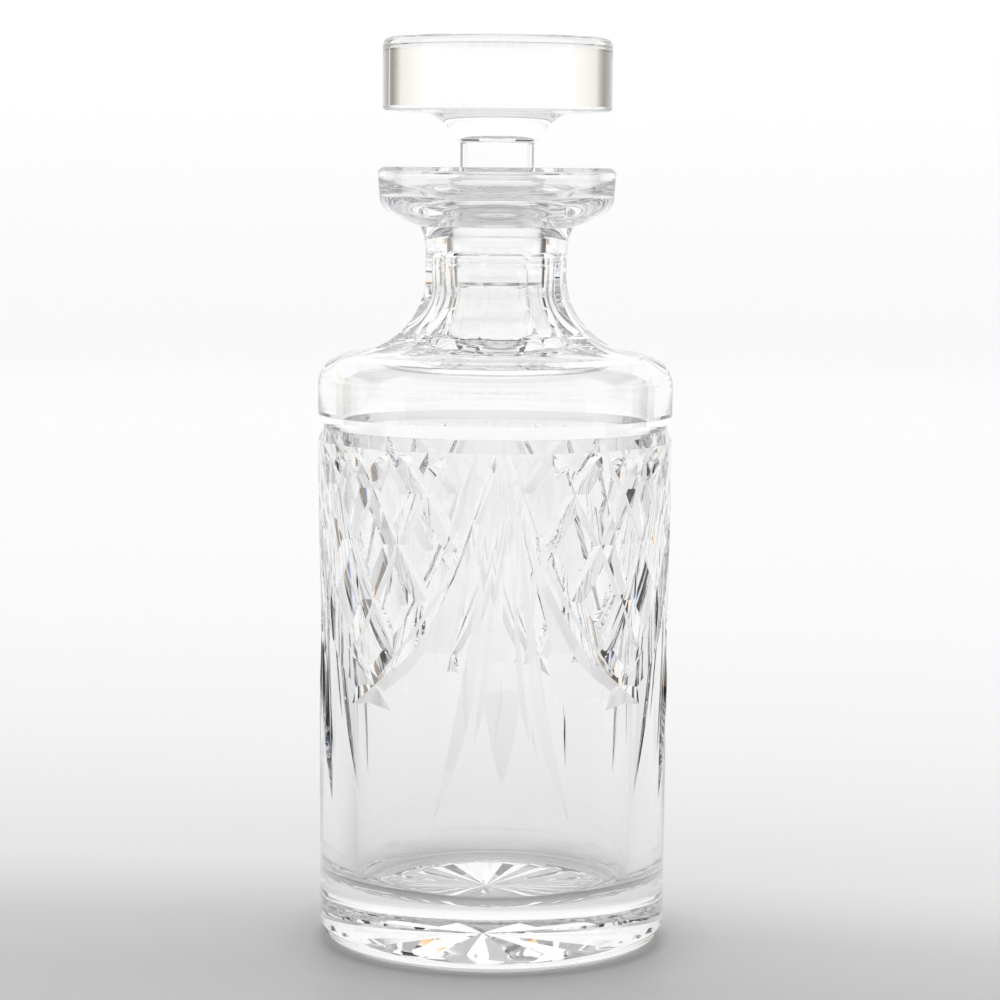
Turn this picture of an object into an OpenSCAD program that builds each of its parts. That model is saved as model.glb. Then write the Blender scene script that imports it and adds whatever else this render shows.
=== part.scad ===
// Round cut-crystal decanter with a solid disc stopper.
// The bottle stands on z = 0 with its axis on +Z. Each radius is measured from that axis.

/* [Body] */
// Outer diameter of the plain band under the shoulder
band_d = 98; // [97:0.5:100]
// Outer diameter of the body just above the heel
base_d = 96; // [95:0.5:97]
// Radius of the rounded heel
heel_r = 6; // [4:0.5:7]
// Height of the deepest line of the ring groove
ring_z = 143.6; // [142:0.2:146]
// Height of the ring groove from edge to edge
ring_h = 7; // [5:0.5:8]
// Depth of the ring groove
ring_depth = 1.6; // [0.8:0.1:2]
// Wall thickness at the plain band
band_wall = 5; // [4:0.5:6]
// Wall thickness near the floor
low_wall = 10; // [8:0.5:11]
// Thickness of the solid base at its rim
floor_t = 16.6; // [15:0.2:18]

/* [Neck and lip] */
// Height of the lip's top
lip_z = 214.8; // [213:0.2:216]
// Outer diameter of the lip
lip_d = 65.6; // [62:0.2:68]
// Diameter of the neck across the arrises between two flutes
neck_d = 39.2; // [38.8:0.1:39.6]
// Number of flutes round the neck
flutes = 10; // [10:1:12]
// Deepest cut of a flute below the neck's round
flute_depth = 1.0; // [0.6:0.1:1.2]
// Angle of the first flute, anticlockwise from the front
flute_turn = 8; // [-18:1:18]
// Height of the bowl's floor inside the lip
bowl_z = 205; // [204:0.2:206]

/* [Stopper] */
// Overall height of the decanter with its stopper in
total_h = 250; // [248:0.5:252]
// Diameter of the stopper's disc
disc_d = 63; // [58:0.5:65]
// Thickness of the stopper's disc
disc_t = 20; // [16:0.5:22]
// Diameter of the waist between disc and peg
waist_d = 20.6; // [19:0.2:22]
// Diameter of the peg's thick end
peg_top_d = 26.2; // [25:0.2:27]
// Diameter of the peg's thin end
peg_low_d = 24.4; // [23.6:0.2:24.6]
// Height of the peg's thin end when the stopper is in
peg_low_z = 181.5; // [180:0.5:184]
// Radial clearance between the ground peg and its seat
seat_gap = 0.05; // [0.04:0.01:0.1]

/* [Cuts] */
// Number of lattice panels, and of the sprays between them
panels = 4; // [4:1:4]
// Angle of the first spray, anticlockwise from the front
turn = 2; // [-10:1:10]
// Depth of a lattice cut
lattice_depth = 1.4; // [0.8:0.1:1.8]
// Depth of a cut along a panel's edge
edge_depth = 1.7; // [1:0.1:2.2]
// Depth of a spray's blades
blade_depth = 1.6; // [1:0.1:2.2]
// Number of rays in the star under the base
star_rays = 24; // [16:2:32]
// Angle of the star's first ray, anticlockwise from the front
star_turn = 8; // [0:1:14]
// Height of the star's middle above the surface that the bottle stands on
star_z = 4.6; // [3:0.2:6]

/* [Hidden] */
$fn = 96;

ARC_STEP = 7.5;               // degrees between two points of an arc
FAR = 6;                      // how far a cutter stands clear of the glass
WIDE_V = 144;                 // angle between the two faces of a spray's blade
LATTICE_V = 128;
EDGE_V = 132;

band_r = band_d / 2;
base_r = base_d / 2;
lip_r = lip_d / 2;
neck_r = neck_d / 2;
disc_r = disc_d / 2;
waist_r = waist_d / 2;

ring_top = ring_z + ring_h / 2;
ring_low = ring_z - ring_h / 2;
groove_r = band_r - 0.1;      // body radius at the groove's lower edge

rest_r = 36;                  // inner edge of the flat ring that the bottle stands on
recess_r = 34.5;              // edge of the hollow that holds the star
recess_h = 0.8;
star_r = 34;
star_shift = -1.6;            // the star's middle lies a little off the axis
ray_end_z = 2.8;              // height of a ray's outer end, at the bottom of its V

shoulder_c = [40.5, 155];     // centre of the dome's round
shoulder_r = band_r - shoulder_c[0];
cove_r = 19.6;                // hollow curve from the neck out to the shoulder
cove_c = [neck_r + cove_r, 185.2];
cove_end = 252;               // where the cove meets the dome's slope
dome_end = 72;

flute_end_r = 2.8;            // round at the top of a flute

peg_top_z = 209.7;
seat_low_z = 179.5;           // lower end of the bore, where the shoulder opens
floor_flat_r = 31;
floor_round = base_r - low_wall - floor_flat_r;

disc_low = total_h - disc_t;
disc_edge = 2.2;
disc_low_edge = 1.3;

// Points along an arc, from angle a to angle b.
function arc(c, r, a, b) =
    let (n = max(2, ceil(abs(b - a) / ARC_STEP)))
    [for (i = [0:n]) let (t = a + (b - a) * i / n) [c[0] + r * cos(t), c[1] + r * sin(t)]];

// Radius of the ground peg at height z; the seat has the same taper.
function peg_r(z) =
    (peg_low_d + (peg_top_d - peg_low_d) * (z - peg_low_z) / (peg_top_z - peg_low_z)) / 2;

// Radius of the body's outside at height z, between heel and ring.
function body_r(z) = base_r + (groove_r - base_r) * (z - heel_r) / (ring_low - heel_r);

lip_side_z = 207;             // where the lip's side turns under
lip_round = 6;
lip_round_c = [lip_r - 0.5 - lip_round, lip_side_z];

outside = concat(
    [[0, recess_h], [recess_r, recess_h], [rest_r, 0]],
    arc([base_r - heel_r, heel_r], heel_r, -90, 0),
    [[groove_r, ring_low], [band_r - ring_depth, ring_z], [band_r, ring_top]],
    arc(shoulder_c, shoulder_r, 0, dome_end),
    arc(cove_c, cove_r, cove_end, 180),
    [[neck_r, 192.5], [neck_r + 0.4, 196], [neck_r + 1.6, 198.6]],
    arc(lip_round_c, lip_round, -72, 0),
    [[lip_r, lip_z - 1.2], [lip_r - 1.2, lip_z]]
);

bowl_c = [22.5, bowl_z + 8];  // centre of the round at the bottom of the bowl's wall
bowl_round = 8;
inner_band_r = band_r - band_wall;
inner_dome_c = [38.5, 155];
inner_dome_r = inner_band_r - inner_dome_c[0];
throat_r = 15;                // hollow curve from the bore out to the inner dome
throat_c = [peg_r(seat_low_z) + seat_gap + throat_r, seat_low_z];

inside = concat(
    [[lip_r - 2.2, lip_z]],
    arc(bowl_c, bowl_round, 0, -90),
    [[peg_r(bowl_z + 1) + seat_gap + 1, bowl_z]],
    [[peg_r(bowl_z - 1) + seat_gap, bowl_z - 1]],
    arc(throat_c, throat_r, 180, 245),
    arc(inner_dome_c, inner_dome_r, 65, 0),
    [[inner_band_r, 139], [inner_band_r - 1.5, 131], [inner_band_r - 3.4, 110], [inner_band_r - 5, 76]],
    arc([floor_flat_r, floor_t + floor_round], floor_round, 0, -90),
    [[0, floor_t + 0.6]]
);

stopper_outline = concat(
    [[0, total_h]],
    arc([disc_r - disc_edge, total_h - disc_edge], disc_edge, 90, 0),
    arc([disc_r - disc_low_edge, disc_low + disc_low_edge], disc_low_edge, 0, -85),
    arc([23.8, 216.7], 13.6, 111, 155),
    [[waist_r, 221.8]],
    arc([waist_r + 3.6, 214], 3.6, 180, 262),
    [[peg_top_d / 2 + 0.5, peg_top_z + 0.3], [peg_top_d / 2, peg_top_z - 0.4]],
    [[peg_low_d / 2, peg_low_z + 1], [peg_low_d / 2 - 1, peg_low_z], [0, peg_low_z]]
);

// A V-shaped cut whose middle lies on the body at the given angle and height. It climbs at
// "tilt" degrees from the horizontal and runs out to nothing at "reach" on either side. Its
// bottom line is an arc, centred inside the bottle for a long cut and outside for a short one.
module v_cut(angle, z, tilt, depth, reach, v) {
    r = body_r(z);
    curve = pow(cos(tilt), 2) / r - 2 * depth / pow(reach, 2);
    bend = 1 / abs(curve);
    side = curve > 0 ? 1 : -1;
    h = depth + FAR;
    half = h * tan(v / 2);
    span = 2 * (reach + 3) / bend * 180 / PI;
    rotate([0, 0, angle - 90])
        translate([r - depth - side * bend, 0, z])
            rotate([tilt, 0, 0])
                rotate([0, 0, (side > 0 ? 0 : 180) - span / 2])
                    rotate_extrude(angle = span, $fn = 360)
                        polygon([[bend, 0], [bend + side * h, -half], [bend + side * h, half]]);
}

// A cut between two points of a panel, each given as [angle, height].
module cut_between(p, q, depth, v) {
    z = (p[1] + q[1]) / 2;
    across = body_r(z) * (q[0] - p[0]) * PI / 180;
    rise = q[1] - p[1];
    v_cut((p[0] + q[0]) / 2, z, atan2(rise, across), depth, norm([across, rise]) / 2, v);
}

// Cuts that lean one way in a panel, with the panel's middle at angle 0. The long cut along
// the panel's edge bends, so it is made in two strokes that lap.
module leaning_cuts() {
    for (line = [[10, 142, 34, 111], [-10, 142, 24, 96], [-30, 142, 12, 82], [-33, 117, 1, 76]])
        cut_between([line[0], line[1]], [line[2], line[3]], lattice_depth, LATTICE_V);
    cut_between([-45, 143], [-22, 93], edge_depth, EDGE_V);
    cut_between([-30, 106], [9, 70], edge_depth, EDGE_V);
}

module lattice_panel() {
    leaning_cuts();
    mirror([1, 0, 0]) leaning_cuts();
}

// Blades that fan out downwards from a point under the ring.
module spray() {
    for (side = [-1, 1]) {
        cut_between([side * 5, 124], [side * 22, 40], blade_depth, WIDE_V);
        cut_between([side * 2, 130], [side * 10, 60], blade_depth * 0.6, WIDE_V);
    }
    cut_between([0, 124], [0.2, 47], blade_depth, WIDE_V);
}

// Rays that are cut up into the underside. Each is a V that widens outwards from the middle.
module star() {
    n = 2 * star_rays;
    rim = [for (i = [0:n - 1]) let (t = 360 * i / n + star_turn) [star_r * cos(t), star_r * sin(t)]];
    top = [for (i = [0:n - 1]) [rim[i][0], rim[i][1], i % 2 == 0 ? ray_end_z : recess_h]];
    low = [for (p = rim) [p[0], p[1], recess_h - FAR]];
    points = concat(top, low, [[star_shift, 0, star_z], [0, 0, recess_h - FAR]]);
    polyhedron(points, concat(
        [for (i = [0:n - 1]) [(i + 1) % n, i, 2 * n]],
        [for (i = [0:n - 1]) [i, (i + 1) % n, n + (i + 1) % n]],
        [for (i = [0:n - 1]) [i, n + (i + 1) % n, n + i]],
        [for (i = [0:n - 1]) [n + i, n + (i + 1) % n, 2 * n + 1]]
    ));
}

// One wheel-cut flute. It starts under the lip, runs down the neck and out over the shoulder.
module flute() {
    deep_r = neck_r - flute_depth;
    wheel_r = cove_r + 2;
    top_z = cove_c[1] + 4.6;
    rotate([90, 0, 0])
        linear_extrude(height = 40, center = true) {
            intersection() {
                translate([deep_r + wheel_r, cove_c[1]]) circle(r = wheel_r, $fn = 180);
                translate([0, top_z - 40]) square([60, 40]);
            }
            translate([deep_r + flute_end_r, top_z]) circle(r = flute_end_r, $fn = 48);
        }
}

module bottle() {
    color([0.86, 0.9, 0.9, 0.45])
        difference() {
            rotate_extrude($fn = 180) polygon(concat(outside, inside));
            for (i = [0:flutes - 1])
                rotate([0, 0, flute_turn - 90 + 360 / flutes * i]) flute();
            for (i = [0:panels - 1]) {
                rotate([0, 0, turn + 360 / panels * (i + 0.5)]) lattice_panel();
                rotate([0, 0, turn + 360 / panels * i]) spray();
            }
            star();
        }
}

module stopper() {
    color([0.9, 0.9, 0.86, 0.5])
        rotate_extrude($fn = 180) polygon(stopper_outline);
}

bottle();
stopper();
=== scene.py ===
"""Looks of a round cut-crystal decanter with a solid disc stopper.

Outlines and cuts are in millimetres and degrees and become metres where a mesh is made.
An angle of 0 is the front (-Y), and angles grow towards +X. Heights start at the base.
"""

import math
from itertools import accumulate

import bpy
from mathutils import Matrix, Vector


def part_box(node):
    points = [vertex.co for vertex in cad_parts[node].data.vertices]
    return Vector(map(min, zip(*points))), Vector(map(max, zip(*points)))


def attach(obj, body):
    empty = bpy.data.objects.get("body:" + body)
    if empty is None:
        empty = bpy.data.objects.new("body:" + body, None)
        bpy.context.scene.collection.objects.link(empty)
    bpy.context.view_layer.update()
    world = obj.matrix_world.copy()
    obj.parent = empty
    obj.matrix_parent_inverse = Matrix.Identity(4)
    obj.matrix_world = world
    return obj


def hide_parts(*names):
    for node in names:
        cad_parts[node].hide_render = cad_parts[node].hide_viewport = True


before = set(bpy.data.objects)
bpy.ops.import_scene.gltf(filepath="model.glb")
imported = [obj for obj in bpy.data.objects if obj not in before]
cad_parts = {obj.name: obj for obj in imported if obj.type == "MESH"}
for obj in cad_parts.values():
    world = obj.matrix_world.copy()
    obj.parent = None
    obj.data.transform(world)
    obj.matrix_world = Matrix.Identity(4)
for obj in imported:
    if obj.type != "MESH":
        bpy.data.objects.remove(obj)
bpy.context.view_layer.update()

MM = 0.001
NORMAL = "true_normal"


def size_of(node):
    """Radius, lowest and highest point of a round CAD node, in millimetres."""
    low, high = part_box(node)
    return round(high.x / MM, 1), round(low.z / MM, 1), round(high.z / MM, 1)


BAND_R, _, LIP_Z = size_of("bottle")
DISC_R, PEG_LOW_Z, TOP_Z = size_of("stopper")

# Bottle
BASE_R = 48.0
HEEL_R = 6.0
RING_Z = 143.6
RING_H = 7.0
RING_DEPTH = 1.6
GROOVE_R = BAND_R - 0.1
BAND_WALL = 5.0
LOW_WALL = 10.0
FLOOR_T = 16.6
LIP_R = 32.8
NECK_R = 19.6
BOWL_Z = 205.0
PEG_TOP_R, PEG_LOW_R, PEG_TOP_Z = 13.1, 12.2, 209.7
SEAT_GAP = 0.05
SEAT_LOW_Z = 179.5

# Stopper
DISC_T = 20.0
WAIST_R = 10.3

# Cuts
PANELS = 4
TURN = 2.0
FLUTES = 10
FLUTE_DEPTH = 1.0
FLUTE_TURN = 8.0
STAR_RAYS = 24
STAR_TURN = 8.0
RECESS_R = 34.5
RECESS_H = 0.8
HOLLOW_H = 4.4
STAR_SHIFT = -1.6

BOTTLE_STEPS = 256
STOPPER_STEPS = 192
POLISH_ROUND = 0.4


# ---------------------------------------------------------------- outlines

def arc(centre, radius, start, end, step=4.0):
    """Points along an arc from one angle to another, in degrees."""
    count = max(2, math.ceil(abs(end - start) / step))
    turns = [math.radians(start + (end - start) * i / count) for i in range(count + 1)]
    return [(centre[0] + radius * math.cos(t), centre[1] + radius * math.sin(t)) for t in turns]


def eased(points, radius):
    """The outline with each sharp corner rounded, as polishing leaves it."""
    sharp = math.radians(14)
    most = 0.45
    steps = 4
    out = [points[0]]
    for before, here, after in zip(points, points[1:], points[2:]):
        a = Vector(before) - Vector(here)
        b = Vector(after) - Vector(here)
        turn = math.pi - a.angle(b)
        if turn < sharp:
            out.append(here)
            continue
        reach = min(radius * math.tan(turn / 2), a.length * most, b.length * most)
        start = Vector(here) + a.normalized() * reach
        end = Vector(here) + b.normalized() * reach
        for i in range(steps + 1):
            t = i / steps
            p = start.lerp(Vector(here), t).lerp(Vector(here).lerp(end, t), t)
            out.append((p.x, p.y))
    out.append(points[-1])
    return out


def peg_radius(z):
    """Radius of the ground peg at a height; its seat has the same taper."""
    share = (z - PEG_LOW_Z) / (PEG_TOP_Z - PEG_LOW_Z)
    return PEG_LOW_R + (PEG_TOP_R - PEG_LOW_R) * share


def body_radius(z):
    """Radius of the plain body, which widens slightly from heel to ring."""
    return BASE_R + (GROOVE_R - BASE_R) * (z - HEEL_R) / (RING_Z - RING_H / 2 - HEEL_R)


def hollow_z(r):
    """Height of the hollow cone under the base, before the star is cut."""
    return RECESS_H + (HOLLOW_H - RECESS_H) * (1 - r / RECESS_R)


def bottle_outline():
    dome = (40.5, 155.0)
    cove_r = 19.6
    cove = (NECK_R + cove_r, 185.2)
    lip_round = 6.0
    outside = [(0, hollow_z(0)), (RECESS_R, hollow_z(RECESS_R)), (36, 0)]
    outside += arc((BASE_R - HEEL_R, HEEL_R), HEEL_R, -90, 0)
    outside += [
        (GROOVE_R, RING_Z - RING_H / 2),
        (BAND_R - RING_DEPTH, RING_Z),
        (BAND_R, RING_Z + RING_H / 2),
    ]
    outside += arc(dome, BAND_R - dome[0], 0, 72)
    outside += arc(cove, cove_r, 252, 180)
    outside += [(NECK_R, 192.5), (NECK_R + 0.4, 196), (NECK_R + 1.6, 198.6)]
    outside += arc((LIP_R - 0.5 - lip_round, 207), lip_round, -72, 0)
    outside += [(LIP_R, LIP_Z - 1.2), (LIP_R - 1.2, LIP_Z)]

    bowl_round = 8.0
    inner_band = BAND_R - BAND_WALL
    inner_dome = (38.5, 155.0)
    throat_r = 15.0
    floor_flat = 31.0
    floor_round = BASE_R - LOW_WALL - floor_flat
    inside = [(LIP_R - 2.2, LIP_Z)]
    inside += arc((22.5, BOWL_Z + bowl_round), bowl_round, 0, -90)
    inside += [
        (peg_radius(BOWL_Z + 1) + SEAT_GAP + 1, BOWL_Z),
        (peg_radius(BOWL_Z - 1) + SEAT_GAP, BOWL_Z - 1),
    ]
    inside += arc((peg_radius(SEAT_LOW_Z) + SEAT_GAP + throat_r, SEAT_LOW_Z), throat_r, 180, 245)
    inside += arc(inner_dome, inner_band - inner_dome[0], 65, 0)
    inside += [
        (inner_band, 139),
        (inner_band - 1.5, 131),
        (inner_band - 3.4, 110),
        (inner_band - 5, 76),
    ]
    inside += arc((floor_flat, FLOOR_T + floor_round), floor_round, 0, -90)
    inside += [(0, FLOOR_T + 0.6)]
    return outside, inside


def stopper_outline():
    edge, low_edge = 2.2, 1.3
    low = TOP_Z - DISC_T
    points = [(0, TOP_Z)]
    points += arc((DISC_R - edge, TOP_Z - edge), edge, 90, 0)
    points += arc((DISC_R - low_edge, low + low_edge), low_edge, 0, -85, 8)
    points += arc((23.8, 216.7), 13.6, 111, 155)
    points += [(WAIST_R, 221.8)]
    points += arc((WAIST_R + 3.6, 214), 3.6, 180, 262)
    points += [
        (PEG_TOP_R + 0.5, PEG_TOP_Z + 0.3),
        (PEG_TOP_R, PEG_TOP_Z - 0.4),
        (PEG_LOW_R, PEG_LOW_Z + 1),
        (PEG_LOW_R - 1, PEG_LOW_Z),
        (0, PEG_LOW_Z),
    ]
    return points


# ---------------------------------------------------------------- meshes

def inside_out(points, faces):
    """Whether the faces of a closed mesh look inwards."""
    points = [Vector(p) for p in points]
    volume = 0
    for face in faces:
        for a, b in zip(face[1:], face[2:]):
            volume += points[face[0]].dot(points[a].cross(points[b]))
    return volume < 0


def mesh_object(name, points, faces, normals=None):
    """A mesh object from points in millimetres; a closed one keeps the true normal of each corner."""
    if normals and inside_out(points, faces):
        counts = [len(face) for face in faces]
        for start, count in zip(accumulate([0] + counts), counts):
            normals[start : start + count] = normals[start : start + count][::-1]
        faces = [face[::-1] for face in faces]
    mesh = bpy.data.meshes.new(name)
    mesh.from_pydata([[c * MM for c in p] for p in points], [], faces)
    if normals:
        kept = mesh.attributes.new(NORMAL, "FLOAT_VECTOR", "CORNER")
        for corner, normal in zip(kept.data, normals):
            corner.vector = normal
    obj = bpy.data.objects.new(name, mesh)
    bpy.context.scene.collection.objects.link(obj)
    return obj


def place(angle, radius, z):
    """The point at an angle from the front, a distance from the axis and a height."""
    t = math.radians(angle)
    return (radius * math.sin(t), -radius * math.cos(t), z)


def end_normals(outline):
    """For each segment of an outline, the normals at its two ends; arcs shade as round.

    Where a long segment meets a much shorter one, both take the long one's normal.
    """
    sharp = math.radians(30)
    much = 3
    points = [Vector(p) for p in outline]
    area = sum(a.x * b.y - b.x * a.y for a, b in zip(points, points[1:]))
    sign = math.copysign(1, area)
    steps = [b - a for a, b in zip(points, points[1:])]
    flat = [Vector((step.y, -step.x)).normalized() * sign for step in steps]
    first, last = list(flat), list(flat)
    for k in range(len(steps) - 1):
        if flat[k].angle(flat[k + 1]) > sharp:
            continue
        a, b = steps[k].length, steps[k + 1].length
        if a > much * b:
            shared = flat[k]
        elif b > much * a:
            shared = flat[k + 1]
        else:
            shared = (flat[k] + flat[k + 1]).normalized()
        last[k] = first[k + 1] = shared
    return list(zip(first, last))


def revolved(name, outline, steps):
    """A closed solid turned from an outline that starts and ends on the axis."""
    points, rings = [], []
    for r, z in outline:
        if r < 1e-6:
            rings.append([len(points)] * steps)
            points.append((0, 0, z))
            continue
        rings.append(list(range(len(points), len(points) + steps)))
        points += [place(360 * i / steps, r, z) for i in range(steps)]
    faces, normals = [], []
    for low, high, (first, last) in zip(rings, rings[1:], end_normals(outline)):
        for i in range(steps):
            j = (i + 1) % steps
            corners = {}
            meets_axis = low[0] == low[1] or high[0] == high[1]
            for ring, step, normal in ((low, i, first), (low, j, first), (high, j, last), (high, i, last)):
                angle = 360 * (i + 0.5 if meets_axis else step) / steps
                corners.setdefault(ring[step], place(angle, normal.x, normal.y))
            faces.append(list(corners))
            normals += corners.values()
    return mesh_object(name, points, faces, normals)


def tubes(name, rows):
    """Closed tubes, each through its own rings of a lowest point and two side points."""
    points, faces, normals = [], [], []
    none = Vector((0, 0, 0))
    for rings in rows:
        start = len(points)
        points += [p for ring in rings for p in ring]
        count = len(rings)
        slopes = []
        for k, ring in enumerate(rings):
            along = rings[min(k + 1, count - 1)][0] - rings[max(k - 1, 0)][0]
            slopes.append([along.cross(ring[side] - ring[0]).normalized() for side in (1, 2)])
        for k in range(count - 1):
            a = start + 3 * k
            for i in range(3):
                j = (i + 1) % 3
                faces.append([a + i, a + j, a + 3 + j, a + 3 + i])
                if i == 1:
                    normals += [none] * 4
                else:
                    side = 0 if i == 0 else 1
                    normals += [slopes[k][side]] * 2 + [slopes[k + 1][side]] * 2
        last = start + 3 * (count - 1)
        faces += [[start + 2, start + 1, start], [last, last + 1, last + 2]]
        normals += [none] * 6
    return mesh_object(name, points, faces, normals)


def cut_away(target, cutter):
    """Cuts a closed mesh out of another and removes the cutter."""
    change = target.modifiers.new("cut", "BOOLEAN")
    change.operation = "DIFFERENCE"
    change.solver = "MANIFOLD"
    change.object = cutter
    bpy.context.view_layer.update()
    graph = bpy.context.evaluated_depsgraph_get()
    made = bpy.data.meshes.new_from_object(target.evaluated_get(graph))
    target.modifiers.clear()
    target.data = made
    bpy.data.objects.remove(cutter)


# ---------------------------------------------------------------- cuts

def smooth_path(knots, count):
    """Points on a smooth curve through the knots, evenly spread between them."""
    knots = [Vector(k) for k in knots]
    ends = [2 * knots[0] - knots[1]] + knots + [2 * knots[-1] - knots[-2]]
    out = []
    for i in range(count + 1):
        at = i / count * (len(knots) - 1)
        k = min(int(at), len(knots) - 2)
        t = at - k
        a, b, c, d = ends[k : k + 4]
        bend = (2 * a - 5 * b + 4 * c - d) * t**2
        twist = (3 * b - a - 3 * c + d) * t**3
        out.append(0.5 * (2 * b + (c - a) * t + bend + twist))
    return out


def v_cut(knots, half_width, slope, shape, count=36):
    """Rings of a wheel cut along knots of (angle, height), with a V section of the given slope.

    The cutter stands clear of the glass by the rise, and it is deeper by the sag of the round body
    across its width, so that its edges lie on the surface.
    """
    rise = 1.2
    path = smooth_path(knots, count)
    surface = [Vector(place(p.x, body_radius(p.y), p.y)) for p in path]
    spread = math.tan(math.radians(slope))
    rings = []
    for i, here in enumerate(surface):
        ahead = surface[min(i + 1, count)] - surface[max(i - 1, 0)]
        normal = Vector(place(path[i].x, 1, 0))
        side = normal.cross(ahead.normalized())
        wide = half_width * shape(i / count)
        sag = max(wide, 0) ** 2 * (side.x**2 + side.y**2) / (2 * BAND_R)
        deep = wide * spread + sag
        reach = wide + (rise + sag) / spread
        rings.append([
            here - normal * deep,
            here + normal * rise + side * reach,
            here + normal * rise - side * reach,
        ])
    return rings


def clear(share, past):
    """The share, stretched so that it ends below zero, where the cutter leaves the glass."""
    return share * (1 + past) - past


def even(t):
    """Share of the full width along a straight cut, which runs out at both ends."""
    from_end = min(t, 1 - t) / 0.14
    return clear(math.sin(min(1, from_end) * math.pi / 2), 0.04)


def leaf(t):
    """Share of the full width along a blade that is widest low down."""
    return clear(math.sin(math.pi * t**1.65), 0.02)


def tail(t):
    """Share of the full width along a panel's edge, from its thin upper end to its tail."""
    return clear(min(0.25 + t * 1.25, 1.0, (1 - t) / 0.16), 0.03)


LATTICE_HALF = 2.9
LATTICE_SLOPE = 26
EDGE_HALF = 3.8
EDGE_SLOPE = 24
BLADE_SLOPE = 18

LATTICE = [
    [(11.5, 139), (20, 129.5), (33, 112)],
    [(-8.5, 139), (0, 129.5), (10, 115), (24, 97)],
    [(-28.5, 139), (-20, 128.5), (-10, 115), (0, 99.5), (12, 81.5)],
    [(-33, 117), (-22, 99.5), (-8.6, 85), (1, 76)],
]
PANEL_EDGE = [(-43.3, 139.6), (-34.7, 116), (-25.8, 99.5), (-14.2, 85.5), (0, 76.3), (9, 70.3)]

# Each blade: angle and height of its lower end, half its width, height of its upper end
BLADES = [
    (-22, 41.5, 4.3, 139),
    (-9, 62, 2.6, 137),
    (0, 51, 4.8, 139),
    (9, 62, 2.6, 137),
    (22, 41.5, 4.3, 139),
]
SPRAY_TURN = TURN + 1


def turned(line, centre, mirror):
    """Knots of a panel's line at the panel's centre, as they are (1) or mirrored (-1)."""
    return [(centre + mirror * angle, z) for angle, z in line]


def cut_lattice(target):
    """Crossing lines and the two curved edges of each lattice panel."""
    centres = [TURN + 360 / PANELS * (i + 0.5) for i in range(PANELS)]
    for mirror in (1, -1):
        lines = [turned(line, c, mirror) for c in centres for line in LATTICE]
        rows = [v_cut(line, LATTICE_HALF, LATTICE_SLOPE, even) for line in lines]
        cut_away(target, tubes("lattice", rows))
        edges = [turned(PANEL_EDGE, c, mirror) for c in centres]
        rows = [v_cut(edge, EDGE_HALF, EDGE_SLOPE, tail, 60) for edge in edges]
        cut_away(target, tubes("panel_edge", rows))


def cut_sprays(target):
    """Long blades that fan out downwards between the panels, bowed a little outwards at the middle."""
    at_top, at_middle, bow = 0.1, 0.55, 0.06
    centres = [SPRAY_TURN + 360 / PANELS * i for i in range(PANELS)]
    for angle, low, wide, top in BLADES:
        rows = []
        for c in centres:
            middle = (c + angle * at_middle - bow * angle, (top + low) / 2)
            knots = [(c + angle * at_top, top), middle, (c + angle, low)]
            rows.append(v_cut(knots, wide, BLADE_SLOPE, leaf, 48))
        cut_away(target, tubes("blade", rows))


def flute_outline():
    """Side view of a flute's cutter as (radius, height): a big wheel, and a small one at the top."""
    deep = NECK_R - FLUTE_DEPTH
    wheel_r, mid_z = 21.6, 185.2
    end_r = 2.8
    top_z = mid_z + 4.6
    turns = [math.radians(t) for t in range(-10, 104, 2)]
    side = [(deep + wheel_r * (1 - math.cos(t)), mid_z - wheel_r * math.sin(t)) for t in turns]
    crown = arc((deep + end_r, top_z), end_r, 180, 90, 9)
    return crown[::-1] + side + [(60, 175), (60, crown[-1][1])]


def flute_prism(outline, shade, turn, first):
    """Points, faces and normals of one flute's cutter, a wedge wider than one flute's share."""
    overlap = 12
    spread = math.tan(math.radians(180 / FLUTES + overlap))
    sin, cos = math.sin(turn), math.cos(turn)
    points = []
    for sign in (-1, 1):
        for r, z in outline:
            x, y = sign * r * spread, -r
            points.append((x * cos - y * sin, x * sin + y * cos, z))
    n = len(outline)
    faces = [list(range(first, first + n)), list(range(first + 2 * n - 1, first + n - 1, -1))]
    normals = [(0, 0, 0)] * 2 * n
    for i in range(n):
        j = (i + 1) % n
        faces.append([first + i, first + n + i, first + n + j, first + j])
        one, two = ((q.x * sin, -q.x * cos, q.y) for q in shade[i])
        normals += [one, one, two, two]
    return points, faces, normals


def cut_flutes(target):
    """Wheel-cut flats round the neck, which run out over the shoulder; every other one at a time."""
    outline = flute_outline()
    shade = end_normals(outline + outline[:1])
    for start in (0, 1):
        points, faces, normals = [], [], []
        for k in range(start, FLUTES, 2):
            turn = math.radians(FLUTE_TURN + 360 / FLUTES * k)
            more = flute_prism(outline, shade, turn, len(points))
            points += more[0]
            faces += more[1]
            normals += more[2]
        cut_away(target, mesh_object("flutes", points, faces, normals))


def cut_star(target):
    """Rays cut up into the hollow underside, each a V that widens outwards and ends round."""
    reach = 33.6
    round_from = 0.85
    drop = 0.6
    steps = 24
    slope = math.tan(math.radians(27))
    for k in range(STAR_RAYS // 2):
        turn = math.radians(360 / STAR_RAYS * k + STAR_TURN)
        along = Vector((math.sin(turn), -math.cos(turn), 0))
        side = Vector((0, 0, 1)).cross(along)
        rings = []
        for i in range(-steps, steps + 1):
            t = abs(i) / steps
            wide = 0.5 + 3.5 * t
            if t > round_from:
                past = (t - round_from) / (1 - round_from)
                wide *= clear(math.sqrt(max(0, 1 - past**2)), 0.02)
            here = along * reach * i / steps + Vector((STAR_SHIFT * (1 - t), 0, hollow_z(reach * t)))
            below = Vector((0, 0, -drop))
            more = wide + drop / slope
            rings.append([
                here + Vector((0, 0, wide * slope)),
                here + below + side * more,
                here + below - side * more,
            ])
        cut_away(target, tubes("ray", [rings]))


# ---------------------------------------------------------------- materials

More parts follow.
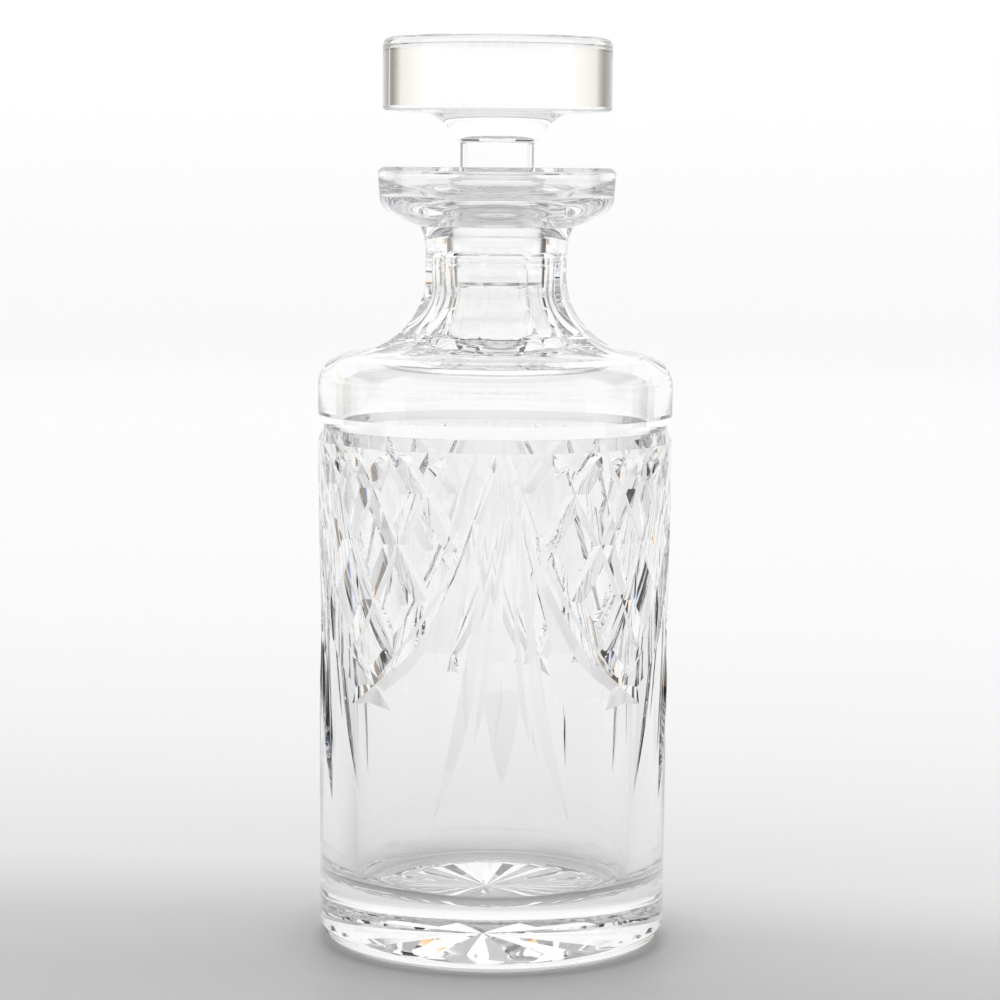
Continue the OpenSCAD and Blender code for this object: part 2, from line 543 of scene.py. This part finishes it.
CLEAR = (0.995, 0.997, 0.997, 1)
CRYSTAL_IOR = 1.545
POLISHED = 0.008
WAVE = 0.005
WAVES_PER_METRE = 45


def glass(name, ground_z, polished_z, ground):
    """Clear crystal with the faint waves of hand polishing, which is finely ground up to a height."""
    mat = bpy.data.materials.new(name)
    mat.use_nodes = True
    nodes, links = mat.node_tree.nodes, mat.node_tree.links
    shader = nodes["Principled BSDF"]
    shader.inputs["Base Color"].default_value = CLEAR
    shader.inputs["Transmission Weight"].default_value = 1.0
    shader.inputs["IOR"].default_value = CRYSTAL_IOR
    where = nodes.new("ShaderNodeTexCoord")
    noise = nodes.new("ShaderNodeTexNoise")
    noise.inputs["Scale"].default_value = WAVES_PER_METRE
    noise.inputs["Detail"].default_value = 1
    bump = nodes.new("ShaderNodeBump")
    bump.inputs["Strength"].default_value = WAVE
    bump.inputs["Distance"].default_value = MM
    links.new(where.outputs["Object"], noise.inputs["Vector"])
    links.new(noise.outputs["Fac"], bump.inputs["Height"])
    links.new(bump.outputs["Normal"], shader.inputs["Normal"])
    split = nodes.new("ShaderNodeSeparateXYZ")
    band = nodes.new("ShaderNodeMapRange")
    band.inputs["From Min"].default_value = ground_z * MM
    band.inputs["From Max"].default_value = polished_z * MM
    band.inputs["To Min"].default_value = ground
    band.inputs["To Max"].default_value = POLISHED
    links.new(where.outputs["Object"], split.inputs["Vector"])
    links.new(split.outputs["Z"], band.inputs["Value"])
    links.new(band.outputs["Result"], shader.inputs["Roughness"])
    return mat


# ---------------------------------------------------------------- pieces

def shade_truly(mesh):
    """Shades each corner by the normal it was made with; the side faces of the cutters look inwards."""
    kept = mesh.attributes[NORMAL]
    normals = []
    for face in mesh.polygons:
        face.use_smooth = True
        for corner in face.loop_indices:
            normal = Vector(kept.data[corner].vector)
            if normal.length > 0.5:
                normal.normalize()
                if normal.dot(face.normal) < 0:
                    normal.negate()
            else:
                normal = face.normal
            normals.append(tuple(normal))
    mesh.attributes.remove(kept)
    mesh.normals_split_custom_set(normals)


def finish_piece(obj, mat, body, node):
    shade_truly(obj.data)
    obj.data.materials.clear()
    obj.data.materials.append(mat)
    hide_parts(node)
    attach(obj, body)


def make_bottle():
    """The bottle, with only its foot ground."""
    outside, inside = bottle_outline()
    obj = revolved("crystal_bottle", eased(outside + inside, POLISH_ROUND), BOTTLE_STEPS)
    cut_flutes(obj)
    cut_sprays(obj)
    cut_lattice(obj)
    cut_star(obj)
    crystal = glass("cut_crystal", ground_z=0.02, polished_z=0.1, ground=0.25)
    finish_piece(obj, crystal, "bottle", "bottle")


def make_stopper():
    """The stopper, with its peg ground."""
    obj = revolved("crystal_stopper", eased(stopper_outline(), POLISH_ROUND), STOPPER_STEPS)
    ground_z = PEG_TOP_Z - 1.7
    crystal = glass("stopper_crystal", ground_z, polished_z=ground_z + 1, ground=0.1)
    finish_piece(obj, crystal, "stopper", "stopper")


# ---------------------------------------------------------------- stage, light, camera

# Painted glow of the paper, dimmer in a patch of painted shade in front of the object, against the
# distance from the patch's middle in metres
PATCH = [
    (0.09, 0.13), (0.15, 0.19), (0.195, 0.3), (0.223, 0.345), (0.263, 0.362),
    (0.36, 0.41), (0.48, 0.445), (0.72, 0.475), (1.0, 0.485),
]
PATCH_MIDDLE = (0, -0.14, 0)
PATCH_TURN = -13
PATCH_STRETCH = (2.6, 1.0, 1.0)

# Further painted glow up the wall, brighter higher up, against height as a share of WALL_REACH metres
WALL = [(0.0, 0.0), (0.03, 0.035), (0.1, 0.1), (0.3, 0.17)]
WALL_REACH = 3.0

# Painted contact shadow: share of the paper's glow and tone kept, against the distance from the bottle's
# axis in metres
PAINTED_CONTACT_SHADOW = [(0.0, 0.85), (0.034, 0.8), (0.04, 0.55), (0.046, 0.6), (0.051, 0.9), (0.065, 1.0)]

# Painted glow under the hollow of the base, standing in for light that the glass gathers there, against
# the same distance
PAINTED_UNDER_GLOW = [(0.0, 0.27), (0.034, 0.25), (0.044, 0.2), (0.047, 0.0)]

PAPER_TONE = 0.42
WHITE = (1, 1, 1, 1)


def ramp(tree, stops, at):
    """A grey ramp through (place, value) stops, read at a socket."""
    node = tree.nodes.new("ShaderNodeValToRGB")
    points = node.color_ramp.elements
    while len(points) < len(stops):
        points.new(0.5)
    for point, (position, value) in zip(points, stops):
        point.position = position
        point.color = (value, value, value, 1)
    tree.links.new(at, node.inputs["Fac"])
    return node.outputs["Color"]


def maths(tree, operation, first, second):
    """A math node on a socket and another socket or a number."""
    node = tree.nodes.new("ShaderNodeMath")
    node.operation = operation
    tree.links.new(first, node.inputs[0])
    if isinstance(second, float):
        node.inputs[1].default_value = second
    else:
        tree.links.new(second, node.inputs[1])
    return node.outputs["Value"]


def distance(tree, point):
    node = tree.nodes.new("ShaderNodeVectorMath")
    node.operation = "LENGTH"
    tree.links.new(point, node.inputs[0])
    return node.outputs["Value"]


def from_patch(tree, point):
    """Place relative to the patch of painted shade, which is wide, turned and a little in front of the
    object.
    """
    node = tree.nodes.new("ShaderNodeMapping")
    node.vector_type = "TEXTURE"
    node.inputs["Location"].default_value = PATCH_MIDDLE
    node.inputs["Rotation"].default_value = (0, 0, math.radians(PATCH_TURN))
    node.inputs["Scale"].default_value = PATCH_STRETCH
    tree.links.new(point, node.inputs["Vector"])
    return node.outputs["Vector"]


def paper():
    """White paper sweep with painted light: it glows, dim in a wide soft patch of painted shade under the
    object, brighter further away.
    """
    mat = bpy.data.materials.new("paper")
    mat.use_nodes = True
    tree = mat.node_tree
    shader = tree.nodes["Principled BSDF"]
    shader.inputs["Roughness"].default_value = 0.5
    shader.inputs["Specular IOR Level"].default_value = 0.2
    shader.inputs["Emission Color"].default_value = WHITE
    here = tree.nodes.new("ShaderNodeTexCoord").outputs["Object"]
    split = tree.nodes.new("ShaderNodeSeparateXYZ")
    tree.links.new(here, split.inputs["Vector"])
    height = maths(tree, "MULTIPLY", split.outputs["Z"], 1 / WALL_REACH)
    # Painted glow: a dim patch of painted shade on the floor, and more painted glow higher up the wall
    painted_floor_glow = ramp(tree, PATCH, distance(tree, from_patch(tree, here)))
    painted_wall_glow = ramp(tree, WALL, height)
    glow = maths(tree, "ADD", painted_floor_glow, painted_wall_glow)
    # Painted contact shadow near the bottle, which dims both the paper's glow and its base colour
    painted_shadow_share = ramp(tree, PAINTED_CONTACT_SHADOW, distance(tree, here))
    # Painted glow under the base, for light that the glass gathers there
    painted_gathered_glow = ramp(tree, PAINTED_UNDER_GLOW, distance(tree, here))
    strength = maths(tree, "ADD", maths(tree, "MULTIPLY", painted_shadow_share, glow), painted_gathered_glow)
    tone = maths(tree, "MULTIPLY", painted_shadow_share, PAPER_TONE)
    tree.links.new(tone, shader.inputs["Base Color"])
    tree.links.new(strength, shader.inputs["Emission Strength"])
    return mat


def make_stage():
    """A round paper sweep: a floor just under the base, a curve and a wall all round."""
    floor_z = -0.1
    floor_r, curve_r = 2400, 600
    steps = 96
    outline = [(r, floor_z) for r in (400, 1000, 1800, floor_r)]
    outline += arc((floor_r, curve_r), curve_r, -90, 0, 10)[1:] + [(floor_r + curve_r, 2600)]
    points, faces = [(0, 0, floor_z)], []
    for r, z in outline:
        points += [place(360 * i / steps, r, z) for i in range(steps)]
    for i in range(steps):
        j = (i + 1) % steps
        faces.append([0, 1 + i, 1 + j])
        for k in range(len(outline) - 1):
            a, b = 1 + k * steps, 1 + (k + 1) * steps
            faces.append([a + i, b + i, b + j, a + j])
    obj = mesh_object("sweep", points, faces)
    for face in obj.data.polygons:
        face.use_smooth = True
    obj.data.materials.append(paper())


# Tones of the cards
PALE, CREAM, UMBER = (1.14, 1.13, 1.11), (0.96, 0.92, 0.83), (0.17, 0.15, 0.13)
DARK, BLUE = (0.015, 0.015, 0.015), (0.75, 0.85, 1.0)
FLAG, BROWN = (0.1, 0.095, 0.09), (0.34, 0.3, 0.27)
FIRE, SKY = (1.0, 0.55, 0.15), (0.3, 0.45, 1.0)
ROOM, SHADE = (0.87, 0.88, 0.9), (0.03, 0.03, 0.035)

# Where a card stands: its lowest edge, its highest edge and its distance from the axis
FAR = (236, 352, 2000)
FAR_STRIPE = (236, 352, 1990)
LOW = (1, 230, 520)
SIDE = (290, 800, 520)

# Cards round the object, each with its first and last angle from the back, its place, and its tones at
# those two angles. In order: three far ones at each side, pale to dark, and a blue stripe; a low flag
# with coloured edges at each side; a dark strip before the pale room behind the camera; a dark ring
# overhead; a low dark strip between camera and object; and a dark shade, higher up, at each side.
CARDS = [
    (22, 46, FAR, PALE, CREAM),
    (46, 57, FAR, CREAM, UMBER),
    (57, 100, FAR, UMBER, DARK),
    (-22, -47, FAR, PALE, CREAM),
    (-47, -59, FAR, CREAM, UMBER),
    (-59, -100, FAR, UMBER, DARK),
    (62, 64, FAR_STRIPE, BLUE, BLUE),
    (57.5, 60, LOW, PALE, FIRE),
    (60, 77, LOW, FLAG, FLAG),
    (77, 80, LOW, SKY, PALE),
    (-57.5, -60, LOW, PALE, FIRE),
    (-60, -77, LOW, BROWN, BROWN),
    (-77, -80, LOW, SKY, PALE),
    (150, 212, (330, 620, 2290), SHADE, SHADE),
    (108, 252, (330, 3200, 2300), ROOM, ROOM),
    (-180, 180, (2250, 4300, 2000), SHADE, SHADE),
    (118, 242, (2, 110, 560), SHADE, SHADE),
    (64, 98, SIDE, SHADE, SHADE),
    (-64, -98, SIDE, SHADE, SHADE),
]


def card_paint(start, end):
    """Plain light from a card, blended across its width."""
    mat = bpy.data.materials.new("card")
    mat.use_nodes = True
    nodes, links = mat.node_tree.nodes, mat.node_tree.links
    shader = nodes["Principled BSDF"]
    shader.inputs["Base Color"].default_value = (0, 0, 0, 1)
    shader.inputs["Specular IOR Level"].default_value = 0
    shader.inputs["Emission Strength"].default_value = 1
    across = nodes.new("ShaderNodeAttribute")
    across.attribute_name = "across"
    mix = nodes.new("ShaderNodeMix")
    mix.data_type = "RGBA"
    mix.inputs["A"].default_value = (*start, 1)
    mix.inputs["B"].default_value = (*end, 1)
    links.new(across.outputs["Fac"], mix.inputs["Factor"])
    links.new(mix.outputs["Result"], shader.inputs["Emission Color"])
    return mat


def make_cards():
    """The cards, which only the glass sees."""
    steps = 12
    for number, (start, end, (low, high, radius), first, last) in enumerate(CARDS):
        points, faces = [], []
        for k in range(steps + 1):
            angle = 180 - (start + (end - start) * k / steps)
            points += [place(angle, radius, low), place(angle, radius, high)]
        for k in range(steps):
            faces.append([2 * k, 2 * k + 2, 2 * k + 3, 2 * k + 1])
        obj = mesh_object(f"card_{number}", points, faces)
        across = obj.data.attributes.new("across", "FLOAT", "POINT")
        across.data.foreach_set("value", [k / steps for k in range(steps + 1) for _ in (0, 1)])
        obj.visible_camera = False
        obj.visible_diffuse = False
        obj.data.materials.append(card_paint(first, last))


CAMERA_PLACE = (0.0015, -0.8835, 0.2146)
CAMERA_LENS = 115.2
CAMERA_DOWN = 5.92
CAMERA_ROLL = 0.45


def make_camera():
    """A long lens at the height of the lip, which looks slightly down."""
    data = bpy.data.cameras.new("camera")
    data.sensor_width = 36
    data.lens = CAMERA_LENS
    obj = bpy.data.objects.new("camera", data)
    bpy.context.scene.collection.objects.link(obj)
    down = Matrix.Rotation(math.radians(90 - CAMERA_DOWN), 4, "X")
    roll = Matrix.Rotation(math.radians(CAMERA_ROLL), 4, "Z")
    obj.matrix_world = Matrix.Translation(CAMERA_PLACE) @ down @ roll
    bpy.context.scene.camera = obj


def make_light():
    """Even white light from above the sweep."""
    world = bpy.data.worlds.new("studio")
    bpy.context.scene.world = world
    world.use_nodes = True
    back = world.node_tree.nodes["Background"]
    back.inputs["Color"].default_value = WHITE
    back.inputs["Strength"].default_value = 1.0


def set_look():
    """Plain colours, and enough bounces for light to cross both walls and the cuts."""
    scene = bpy.context.scene
    scene.view_settings.view_transform = "Standard"
    scene.cycles.max_bounces = 32
    scene.cycles.transmission_bounces = 32
    scene.cycles.glossy_bounces = 16


make_bottle()
make_stopper()
make_stage()
make_cards()
make_camera()
make_light()
set_look()
